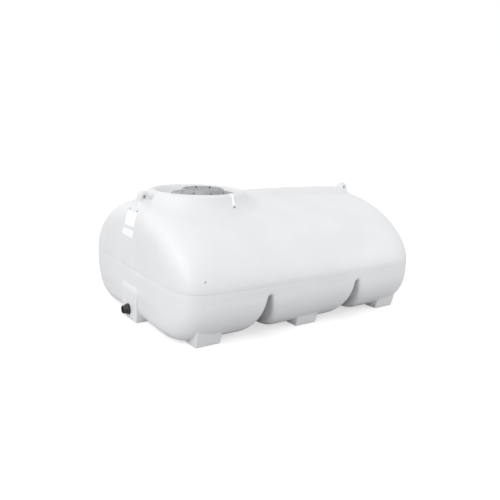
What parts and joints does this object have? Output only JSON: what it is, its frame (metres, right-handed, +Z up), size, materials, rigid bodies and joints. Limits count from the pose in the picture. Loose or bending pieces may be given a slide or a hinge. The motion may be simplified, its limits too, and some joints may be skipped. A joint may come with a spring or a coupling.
{
  "type": "liquid fertilizer tank",
  "caption": "Low horizontal moulded plastic tank with a recessed manway lid, lifting eyes, moulded feet, cross valleys in the belly and a threaded bottom outlet.",
  "frame": {"origin": "on the floor, in the middle of the overall length and width", "axes": "+X along the tank away from the outlet, +Z up"},
  "size_m": [2.101, 1.624, 0.894],
  "materials": {
    "shell": "satin",
    "ring": "satin",
    "lid": "matt",
    "gasket": "matt",
    "fitting": "satin",
    "strap": "satin",
    "screw": "brushed"
  },
  "bodies": {
    "root": {"crown": "shell", "outlet_end": "shell", "rear_end": "shell", "belly_outlet": "shell", "valley_outlet": "shell", "belly_middle": "shell", "valley_rear": "shell", "belly_rear": "shell", "turret": "shell", "spine": "shell", "eye_outlet": "shell", "eye_rear": "shell", "foot_outlet_near": "shell", "foot_middle_near": "shell", "foot_rear_near": "shell", "foot_outlet_far": "shell", "foot_middle_far": "shell", "foot_rear_far": "shell", "sump": "shell", "manway_ring": "ring", "lid_gasket": "gasket", "lid": "lid", "outlet_gasket": "gasket", "outlet_flange": "fitting", "outlet_neck": "fitting", "tether": "strap", "tether_screw": "screw"}
  },
  "joints": []
}
